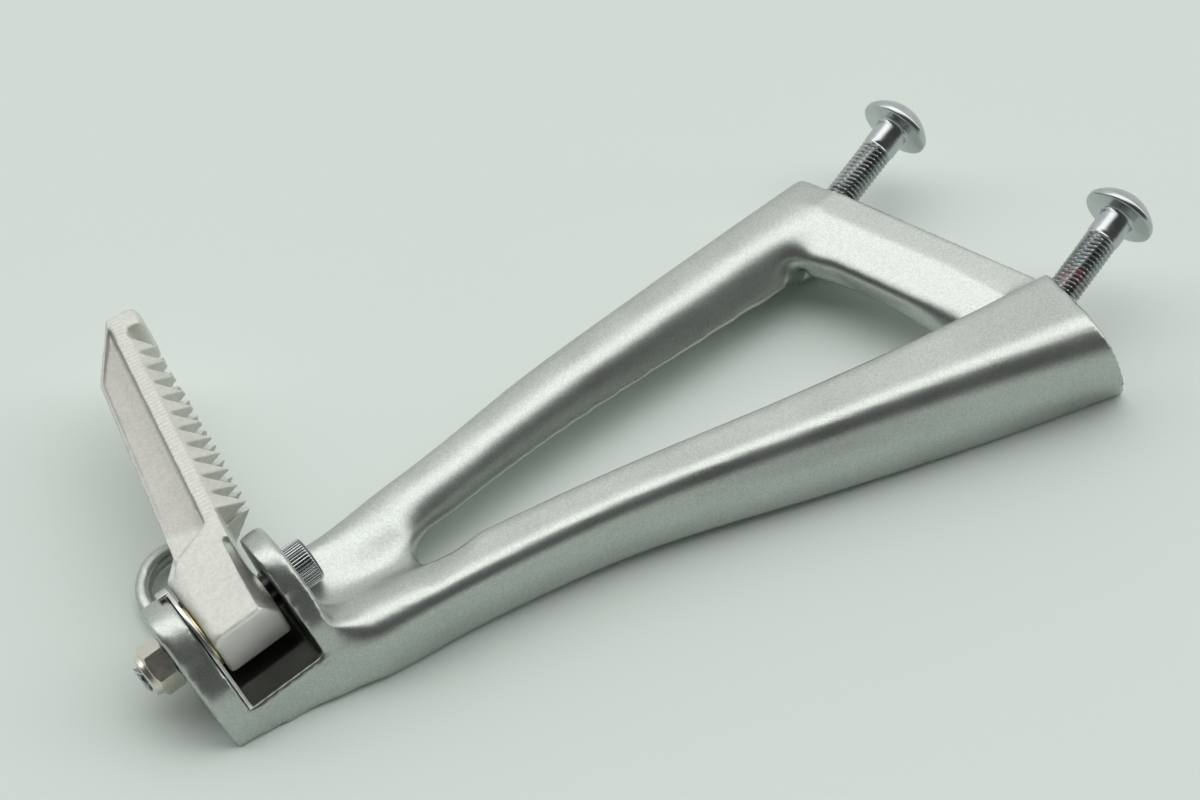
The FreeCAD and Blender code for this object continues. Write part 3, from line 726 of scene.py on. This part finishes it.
def silver_paint(finish, grain, line):
    """Satin silver metallic paint with a fine sparkle, painted shade with an oily brown tint deep in the clevis,
    and bare on the frame faces.
    """
    material, shader = new_material("silver_paint", finish.paint, 0.36, 0.92)
    tree = material.node_tree
    group = use_group(tree, grain, Cell=3000.0, Cloud=45.0)
    sparkle = ramp_node(tree, group.outputs["Sparkle"], 0.0, 1.0, 0.90, 1.09)
    cloud = ramp_node(tree, group.outputs["Cloud"], 0.3, 0.7, 0.96, 1.03)
    colour = shade(tree, finish.paint, product(tree, sparkle, cloud))
    along, ahead, above = (line_place(tree, line, PIN_AT, axis)[0] for axis in (PIN_AXIS, AHEAD, ABOVE))
    raised = math_node(tree, "MULTIPLY", above, SLOT_SLANT[1])
    inside = math_node(tree, "MULTIPLY_ADD", ahead, SLOT_SLANT[0], raised)
    # Painted shade: the pocket between the clevis ears is mixed to a near-black brown, with an oily tint
    slot = product(
        tree,
        band_node(tree, along, -12.8, 11.5, 0.25),
        ramp_node(tree, ahead, -23.2, -21.6, 0.0, 0.8),
        ramp_node(tree, inside, -22.2, -21.5),
        ramp_node(tree, ahead, 8.0, 12.0, 1.0, 0.0))
    colour = mix_colour(tree, slot, colour, finish.oil_and_pocket_shade)
    for place in ("upper", "lower"):
        face_at = Vector(FACES[place + "_frame_face"]["pos_m"])
        middle = axis_point("frame_bolt_" + place, BOLT_AXIS)
        face = middle + BOLT_AXIS * (face_at - middle).dot(BOLT_AXIS)
        height, radius = line_place(tree, line, face, BOLT_AXIS)
        bare = product(
            tree, band_node(tree, height, -0.7, 3.0, 0.2), ramp_node(tree, radius, 9.0, 9.6, 0.85, 0.0))
        colour = mix_colour(tree, bare, colour, finish.machined)
    tree.links.new(colour, shader.inputs["Base Color"])
    rough = ramp_node(tree, group.outputs["Cloud"], 0.3, 0.7, 0.27, 0.32)
    tree.links.new(rough, shader.inputs["Roughness"])
    height = math_node(tree, "ADD", group.outputs["Sparkle"], group.outputs["Skin"])
    bump(tree, shader, height, 0.09, 0.05 * MM)
    return material


def raw_casting(finish, grain, line):
    """Tumbled raw aluminium of the peg, with milling marks across its strip and painted light on the heel face."""
    material, shader = new_material("cast_aluminium", finish.peg, 0.5, 0.5)
    tree = material.node_tree
    group = use_group(tree, grain, Cell=1500.0, Cloud=110.0)
    sparkle = ramp_node(tree, group.outputs["Sparkle"], 0.0, 1.0, 0.94, 1.05)
    cloud = ramp_node(tree, group.outputs["Cloud"], 0.3, 0.7, 0.92, 1.04)
    along_blade = PIN_AXIS * math.sin(BLADE_TILT) + AHEAD * math.cos(BLADE_TILT)
    across_blade = PIN_AXIS * math.cos(BLADE_TILT) - AHEAD * math.sin(BLADE_TILT)
    root = PIN_AT + AHEAD * BLADE_ROOT * MM
    length, width, height = (
        line_place(tree, line, root, axis)[0] for axis in (along_blade, across_blade, ABOVE))
    heel = line_place(tree, line, PIN_AT, AHEAD)[0]
    strip = product(
        tree,
        band_node(tree, width, 7.2, 10.8, 0.2),
        ramp_node(tree, height, 9.3, 9.6),
        ramp_node(tree, length, 0.0, 1.0))
    wander = math_node(tree, "MULTIPLY_ADD", group.outputs["Cloud"], 2.2, length)
    wave = math_node(tree, "SINE", math_node(tree, "MULTIPLY", wander, 2 * math.pi / MARK_PITCH))
    mark = product(tree, wave, strip)
    # Painted light: the heel face, more than 9.3 mm behind the pin, is made up to 1.8 times lighter
    tone = product(
        tree, sparkle, cloud,
        math_node(tree, "MULTIPLY_ADD", mark, 0.07, 1.0),
        ramp_node(tree, heel, -9.3, -8.7, 1.8, 1.0))
    scoop = product(tree, band_node(tree, width, -5.0, 7.1, 0.3), ramp_node(tree, length, 0.0, 3.0))
    colour = mix_colour(tree, scoop, finish.peg, finish.scoop)
    tree.links.new(shade(tree, colour, tone), shader.inputs["Base Color"])
    rough = ramp_node(tree, group.outputs["Cloud"], 0.3, 0.7, 0.44, 0.56)
    tree.links.new(rough, shader.inputs["Roughness"])
    relief = math_node(tree, "MULTIPLY_ADD", mark, 0.6, group.outputs["Skin"])
    bump(tree, shader, relief, 0.2, 0.08 * MM)
    return material


def plated_steel(name, colour, grain, roughness):
    """Zinc-plated or bright steel."""
    material, shader = new_material(name, colour, roughness, 1.0)
    tree = material.node_tree
    group = use_group(tree, grain, Cell=1800.0, Cloud=220.0)
    cloud = ramp_node(tree, group.outputs["Cloud"], 0.3, 0.7, 0.9, 1.05)
    tree.links.new(shade(tree, colour, cloud), shader.inputs["Base Color"])
    rough = ramp_node(tree, group.outputs["Cloud"], 0.3, 0.7, roughness - 0.05, roughness + 0.06)
    tree.links.new(rough, shader.inputs["Roughness"])
    bump(tree, shader, group.outputs["Skin"], 0.08, 0.04 * MM)
    return material


def plated_base(material):
    """Tree, shader and clean colour of a plated finish."""
    tree = material.node_tree
    shader = tree.nodes["Principled BSDF"]
    return tree, shader, shader.inputs["Base Color"].links[0].from_socket


def knurled_screw(finish, grain, line):
    """Zinc-plated screw with painted shade in the grooves round its head and on its shank inside the clevis."""
    material = plated_steel("grooved_zinc_steel", finish.zinc, grain, 0.22)
    tree, shader, clean = plated_base(material)
    along, radius = line_place(tree, line, PIN_AT, PIN_AXIS)
    # Painted shade: at radii of about 6.1 to 6.4 mm, the knurl groove bottoms and head edges, the colour drops to
    # 0.15
    groove = ramp_node(tree, radius, 6.15, 6.45)
    tip = ramp_node(tree, radius, 5.6, 6.1, 1.0, 0.0)
    tone = math_node(tree, "MULTIPLY_ADD", math_node(tree, "MAXIMUM", groove, tip), 0.85, 0.15)
    # Painted shade: the shank between the clevis ears is darkened to 0.08 of its colour
    shank_shade = band_node(tree, along, -12.0, 11.5, 0.2)
    tone = product(tree, tone, ramp_node(tree, shank_shade, 0.0, 1.0, 1.0, 0.08))
    tree.links.new(shade(tree, clean, tone), shader.inputs["Base Color"])
    return material


def stained_bolt(name, bolt, finish, grain, line, stain, reach, cover):
    """Zinc-plated bolt with painted shade in its thread grooves and a stain in the threads near its casting."""
    material = plated_steel(name, finish.zinc, grain, 0.20)
    tree, shader, clean = plated_base(material)
    middle = axis_point(bolt, BOLT_AXIS)
    foot = middle + BOLT_AXIS * axis_span(bolt, middle, BOLT_AXIS)[0] * MM
    along, radius = line_place(tree, line, foot, BOLT_AXIS)
    patches = use_group(tree, grain, Cell=400.0, Cloud=330.0)
    # Painted shade: the thread grooves darken to 0.6 of the colour towards the root radius
    clean = shade(tree, clean, ramp_node(tree, radius, 4.15, 4.9, 0.6, 1.0))
    mask = product(
        tree,
        ramp_node(tree, patches.outputs["Cloud"], 0.62 - cover, 0.70 - cover),
        ramp_node(tree, radius, 4.4, 4.95, 1.0, 0.0),
        band_node(tree, along, reach - 6.0, reach, 2.0))
    tree.links.new(mix_colour(tree, mask, clean, stain), shader.inputs["Base Color"])
    tree.links.new(ramp_node(tree, mask, 0.0, 1.0, 1.0, 0.2), shader.inputs["Metallic"])
    return material


def nylon(finish, grain):
    """Plain nylon."""
    material, shader = new_material("nylon", finish.nylon, 0.5, 0.0)
    tree = material.node_tree
    group = use_group(tree, grain, Cell=900.0, Cloud=300.0)
    cloud = ramp_node(tree, group.outputs["Cloud"], 0.3, 0.7, 0.94, 1.02)
    tree.links.new(shade(tree, finish.nylon, cloud), shader.inputs["Base Color"])
    bump(tree, shader, group.outputs["Skin"], 0.05, 0.05 * MM)
    return material


FINISHES = {}


def finishes():
    """All finishes, made once."""
    if not FINISHES:
        finish = bpy.context.scene.hanger_finish
        grain = grain_group()
        line = place_group()
        FINISHES["silver_paint"] = silver_paint(finish, grain, line)
        FINISHES["cast_aluminium"] = raw_casting(finish, grain, line)
        FINISHES["pivot_screw"] = knurled_screw(finish, grain, line)
        FINISHES["frame_bolt_upper"] = stained_bolt(
            "oiled_zinc_steel", "frame_bolt_upper", finish, grain, line, finish.oil_and_pocket_shade, 19.0, 0.16)
        FINISHES["frame_bolt_lower"] = stained_bolt(
            "locked_zinc_steel", "frame_bolt_lower", finish, grain, line, finish.thread_lock, 24.0, 0.10)
        FINISHES["warm_zinc_steel"] = plated_steel("warm_zinc_steel", finish.warm_zinc, grain, 0.3)
        FINISHES["bright_steel"] = plated_steel("bright_steel", finish.steel, grain, 0.22)
        FINISHES["yellow_zinc_steel"] = plated_steel("yellow_zinc_steel", finish.yellow_zinc, grain, 0.32)
        FINISHES["nylon"] = nylon(finish, grain)
    return FINISHES


# Pieces


class HANGER_OT_casting(bpy.types.Operator):
    """Painted casting with filled inner corners and softened edges"""

    bl_idname = "hanger.casting"
    bl_label = "Casting"

    def execute(self, context):
        sizes = context.scene.hanger_sizes
        fillers = (FRONT_WALL, MITRE, NOSE_FILL, *cross_face())
        piece = remeshed("hanger_casting", "casting_skin", sizes.casting_grain, *fillers)
        skin = Skin(piece.data)
        s, y, w = pin_frame(skin.co).T.copy()
        free = 1 - band(s, *SLOT, 0.4)
        crossbar = ramp(skin.co[:, 0] / MM, 170, 195)
        bowl = free * near(skin.co, BOWL, 10, 20) * ramp(s, 17, 20)
        nose = free * near(skin.co, NOSE, 8, 16) * ramp(s, 15, 19)
        ear_front = (1 - ramp(s, 15, 19)) * (1 - ramp(y, -14, -10))
        skin.soften(SKIN_ROUNDS, np.ones(len(s)))
        skin.soften(CLEVIS_ROUNDS, 1 - ramp(np.abs(s), 20, 30))
        flush_front(skin, s, y, w)
        bend_ears(skin, s, y, w, sizes.ear_bulge)
        lean_wall(skin, sizes.wall_out, sizes.wall_up, sizes.wall_rounds)
        skin.soften(sizes.ear_rounds, free * (1 - ramp(np.abs(s), 19, 24)))
        skin.fill(sizes.fillet_rounds, free * (1 - ear_front) * (1 - CROSS_KEEP * crossbar))
        skin.fill(sizes.root_rounds, bowl)
        skin.fill(3 * sizes.root_rounds, nose)
        skin.soften(4 * sizes.root_rounds, bowl)
        skin.soften(sizes.root_rounds, nose)
        skin.soften(sizes.shoulder_rounds, near(skin.co, SHOULDER, 7, 12))
        skin.soften(sizes.root_rounds, near(skin.co, SEAM, 4, 9) * ramp(s, 12, 13.5))
        skin.soften(sizes.cross_rounds, near(skin.co, CROSS_EDGE, 2, 5))
        skin.soften(sizes.knot_rounds, near(skin.co, KNOT, 4, 8) * (1 - ramp(skin.co[:, 2] / MM, 13, 17)))
        skin.soften(LAST_ROUNDS, free)
        skin.write()
        dress(piece, "hanger", "silver_paint", finishes()["silver_paint"], "hanger_casting")
        return {"FINISHED"}


class HANGER_OT_footpeg(bpy.types.Operator):
    """Cast peg with soft edges"""

    bl_idname = "hanger.footpeg"
    bl_label = "Footpeg"

    def execute(self, context):
        sizes = context.scene.hanger_sizes
        fillers = (from_pin(BLOCK_SIDE), from_pin(BLOCK_TOP))
        piece = remeshed("footpeg", "footpeg_skin", sizes.peg_grain, *fillers)
        skin = Skin(piece.data)
        shape_block(skin)
        skin.soften(LAST_ROUNDS, np.ones(len(skin.co)))
        s, y, w = pin_frame(skin.co).T
        outer_edge = (1 - ramp(s, -8.8, -7.2)) * ramp(w, 5.5, 7.0) * (1 - ramp(y, 13, 15))
        skin.soften(sizes.edge_rounds, outer_edge)
        skin.soften(sizes.tip_rounds, ramp(skin.co[:, 1] / MM, 88.5, 92.5))
        skin.write()
        dress(piece, "peg", "cast_aluminium", finishes()["cast_aluminium"], "footpeg")
        return {"FINISHED"}


class HANGER_OT_frame_bolts(bpy.types.Operator):
    """Button-head bolts with their threads"""

    bl_idname = "hanger.frame_bolts"
    bl_label = "Frame bolts"

    def dome(self, radius):
        """Height of the domed head over the dome's middle, at a radius."""
        return math.sqrt(BOLT_DOME_R ** 2 - radius ** 2)

    def execute(self, context):
        sizes = context.scene.hanger_sizes
        for name in ("frame_bolt_upper", "frame_bolt_lower"):
            origin = axis_point(name, BOLT_AXIS)
            foot, top = axis_span(name, origin, BOLT_AXIS)
            dome_middle = top - self.dome(SOCKET_FLATS / 2)
            apex = dome_middle + BOLT_DOME_R
            under = apex - BOLT_HEAD_H
            shoulder = under - BOLT_SHANK_L
            pitch = sizes.bolt_pitch / MM
            bolt = Spin(BOLT_SEGMENTS)
            bolt.turned(foot, BOLT_TIP)
            bolt.thread(foot + BOLT_TIP_L, shoulder, BOLT_R, pitch, sizes.thread_depth, BOLT_RUN_OUT)
            bolt.turned(shoulder, BOLT_SHANK)
            bolt.turned(under, BOLT_RIM)
            bolt.turned(dome_middle, [(self.dome(radius), radius) for radius in BOLT_DOME])
            socket_rim = dome_middle + self.dome(BOLT_DOME[-1])
            bolt.hexagon(socket_rim - 0.02, SOCKET_FLATS + 0.3)
            bolt.hexagon(socket_rim - SOCKET_CHAMFER, SOCKET_FLATS)
            bolt.hexagon(apex - SOCKET_DEPTH, SOCKET_FLATS)
            bolt.ring(apex - SOCKET_DEPTH - 0.6, SOCKET_DRILL_R)
            piece = bolt.build(name + "_threaded", origin, BOLT_AXIS)
            dress(piece, "hanger", "zinc_steel", finishes()[name], name)
        return {"FINISHED"}


class HANGER_OT_pivot_screw(bpy.types.Operator):
    """Socket head cap screw with a knurled head and a threaded tip"""

    bl_idname = "hanger.pivot_screw"
    bl_label = "Pivot screw"

    def execute(self, context):
        sizes = context.scene.hanger_sizes
        foot, top = axis_span("pivot_screw", PIN_AT, PIN_AXIS)
        seat = top - SCREW_HEAD_H
        tip = foot + SCREW_TIP_L
        pitch = sizes.screw_pitch / MM
        screw = Spin(sizes.knurl_count * 4)
        screw.turned(foot, SCREW_TIP)
        screw.thread(tip, foot + SCREW_THREAD_L, SCREW_R, pitch, sizes.thread_depth, SCREW_RUN_OUT)
        screw.turned(seat, SCREW_SEAT)
        for along in (seat + 0.5, seat + 0.7, top - 1.3, top - 1.0):
            screw.knurled(along, SCREW_HEAD_R, sizes.knurl_count, sizes.knurl_depth / MM)
        screw.turned(top, SCREW_TOP)
        screw.hexagon(top, SOCKET_FLATS + 0.4)
        screw.hexagon(top - SOCKET_CHAMFER, SOCKET_FLATS)
        screw.hexagon(top - SOCKET_DEPTH, SOCKET_FLATS)
        screw.ring(top - SOCKET_DEPTH - 0.4, SOCKET_DRILL_R)
        piece = screw.build("pivot_screw_knurled", PIN_AT, PIN_AXIS)
        dress(piece, "hanger", "zinc_steel", finishes()["pivot_screw"], "pivot_screw")
        return {"FINISHED"}


class HANGER_OT_lock_nut(bpy.types.Operator):
    """Lock nut with chamfered corners and a rolled collar"""

    bl_idname = "hanger.lock_nut"
    bl_label = "Lock nut"

    def execute(self, context):
        end, seat = axis_span("lock_nut", PIN_AT, PIN_AXIS)
        hex_end = end + NUT_COLLAR_H
        nut = Spin(NUT_SEGMENTS)
        nut.turned(seat, NUT_SEAT)
        for step in range(NUT_STEPS):
            nut.hexagon(seat - NUT_RISE * step, NUT_FLATS, 6.35 + 0.24 * step)
        for step in range(NUT_STEPS):
            nut.hexagon(hex_end + NUT_RISE * (NUT_STEPS - 1 - step), NUT_FLATS, 7.6 - 0.2 * step)
        nut.ring(hex_end - 0.1, 6.1)
        for step in range(NUT_STEPS):
            turn = math.pi / 2 * step / (NUT_STEPS - 1)
            nut.ring(end + NUT_ROLL_H * (1 - math.sin(turn)), NUT_COLLAR_R + NUT_ROLL_R * math.cos(turn))
        nut.turned(end, NUT_BORE)
        piece = nut.build("lock_nut_turned", PIN_AT, PIN_AXIS)
        piece.data.flip_normals()
        dress(piece, "hanger", "warm_zinc_steel", finishes()["warm_zinc_steel"], "lock_nut")
        return {"FINISHED"}


class HANGER_OT_sheet_parts(bpy.types.Operator):
    """Click plate and thrust washer with broken edges"""

    bl_idname = "hanger.sheet_parts"
    bl_label = "Sheet parts"

    def execute(self, context):
        for name, slot in (("click_plate", "bright_steel"), ("thrust_washer", "yellow_zinc_steel")):
            piece = placed(name + "_deburred", frame["nodes"][name].data.copy())
            work = bmesh.new()
            work.from_mesh(piece.data)
            bmesh.ops.remove_doubles(work, verts=work.verts, dist=0.002 * MM)
            bmesh.ops.dissolve_limit(work, angle_limit=math.radians(0.5), verts=work.verts, edges=work.edges)
            work.to_mesh(piece.data)
            work.free()
            edge = piece.modifiers.new("edge", "BEVEL")
            edge.width = SHEET_EDGE * MM
            edge.segments = 2
            edge.limit_method = "ANGLE"
            edge.angle_limit = math.radians(50)
            mesh = apply_modifiers(piece)
            mesh.polygons.foreach_set("use_smooth", [True] * len(mesh.polygons))
            mesh.set_sharp_from_angle(angle=math.radians(30))
            dress(piece, "hanger", slot, finishes()[slot], name)
        return {"FINISHED"}


class HANGER_OT_hidden_parts(bpy.types.Operator):
    """Nylon ring, detent ball and spring keep their solids"""

    bl_idname = "hanger.hidden_parts"
    bl_label = "Hidden parts"

    def execute(self, context):
        slots = {"lock_nut_insert": "nylon", "detent_ball": "bright_steel", "detent_spring": "bright_steel"}
        for name, slot in slots.items():
            piece = frame["nodes"][name]
            piece.data.materials.clear()
            piece.data.materials.append(finishes()[slot])
        return {"FINISHED"}


# Stage

FLOOR_HALF = 6.0
ROOM = (
    (0.0, 0.20), (0.07, 0.14), (0.14, 0.04), (0.44, 0.03), (0.515, 0.84),
    (0.59, 0.89), (0.65, 0.80), (0.715, 0.41), (0.85, 0.34), (1.0, 0.32),
)


def floor_material(finish):
    """Pale floor that keeps the object's shadow."""
    material, shader = new_material("pale_floor", finish.floor, 0.6, 0.0)
    shader.inputs["Specular IOR Level"].default_value = 0.25
    return material


def room_light(tree, towards):
    """Wide light overhead, dark above the camera and dim near the floor."""
    ray = tree.nodes.new("ShaderNodeTexCoord").outputs["Generated"]
    front = tree.nodes.new("ShaderNodeVectorMath")
    front.operation = "DOT_PRODUCT"
    front.inputs[1].default_value = towards
    tree.links.new(ray, front.inputs[0])
    parts = tree.nodes.new("ShaderNodeSeparateXYZ")
    tree.links.new(ray, parts.inputs["Vector"])
    angle = math_node(tree, "ARCTAN2", parts.outputs["Z"], front.outputs["Value"])
    level = tree.nodes.new("ShaderNodeValToRGB")
    tree.links.new(math_node(tree, "DIVIDE", angle, math.pi), level.inputs["Fac"])
    while len(level.color_ramp.elements) < len(ROOM):
        level.color_ramp.elements.new(0.5)
    for stop, (place, value) in zip(level.color_ramp.elements, ROOM):
        stop.position = place
        stop.color = (value, value, value, 1)
    return level.outputs["Color"]


class HANGER_OT_stage(bpy.types.Operator):
    """Floor, soft light and camera"""

    bl_idname = "hanger.stage"
    bl_label = "Stage"

    def execute(self, context):
        scene = context.scene
        stage = scene.hanger_stage
        corners = [(x * FLOOR_HALF, y * FLOOR_HALF, 0) for x, y in ((-1, -1), (1, -1), (1, 1), (-1, 1))]
        floor = mesh_object("floor", corners, [(0, 1, 2, 3)])
        floor.data.materials.append(floor_material(scene.hanger_finish))

        world = bpy.data.worlds.new("soft_room")
        scene.world = world
        world.use_nodes = True
        back = world.node_tree.nodes["Background"]
        back.inputs["Strength"].default_value = stage.light
        towards = (math.sin(stage.azimuth), -math.cos(stage.azimuth), 0)
        world.node_tree.links.new(room_light(world.node_tree, towards), back.inputs["Color"])

        lens = bpy.data.cameras.new("camera")
        lens.lens = stage.lens
        lens.sensor_width = 36.0
        lens.clip_start = 0.01
        camera = placed("camera", lens)
        camera.location = stage.place
        camera.rotation_euler = (math.pi / 2 - stage.elevation, 0, stage.azimuth)
        scene.camera = camera
        scene.view_settings.view_transform = "Standard"
        return {"FINISHED"}


class HANGER_PT_panel(bpy.types.Panel):
    """Steps that dress the hanger"""

    bl_label = "Footrest Hanger"
    bl_idname = "HANGER_PT_panel"
    bl_space_type = "VIEW_3D"
    bl_region_type = "UI"
    bl_category = "Hanger"

    def draw(self, context):
        for group in (context.scene.hanger_sizes, context.scene.hanger_finish, context.scene.hanger_stage):
            for key in group.__annotations__:
                self.layout.prop(group, key)
        for step in STEPS:
            self.layout.operator(step.bl_idname)


STEPS = (
    HANGER_OT_stage,
    HANGER_OT_casting,
    HANGER_OT_footpeg,
    HANGER_OT_pivot_screw,
    HANGER_OT_lock_nut,
    HANGER_OT_sheet_parts,
    HANGER_OT_frame_bolts,
    HANGER_OT_hidden_parts,
)
SETTINGS = {"hanger_sizes": HangerSizes, "hanger_finish": HangerFinish, "hanger_stage": HangerStage}


def register():
    """Adds the settings, the steps and the panel."""
    for name, kind in SETTINGS.items():
        bpy.utils.register_class(kind)
        setattr(bpy.types.Scene, name, PointerProperty(type=kind))
    for step in STEPS:
        bpy.utils.register_class(step)
    bpy.utils.register_class(HANGER_PT_panel)


def unregister():
    """Takes them away again."""
    bpy.utils.unregister_class(HANGER_PT_panel)
    for step in reversed(STEPS):
        bpy.utils.unregister_class(step)
    for name, kind in SETTINGS.items():
        delattr(bpy.types.Scene, name)
        bpy.utils.unregister_class(kind)


def main():
    """Dresses the hanger."""
    register()
    bpy.ops.hanger.stage()
    bpy.ops.hanger.casting()
    bpy.ops.hanger.footpeg()
    bpy.ops.hanger.pivot_screw()
    bpy.ops.hanger.lock_nut()
    bpy.ops.hanger.sheet_parts()
    bpy.ops.hanger.frame_bolts()
    bpy.ops.hanger.hidden_parts()


if __name__ == "__main__":
    main()
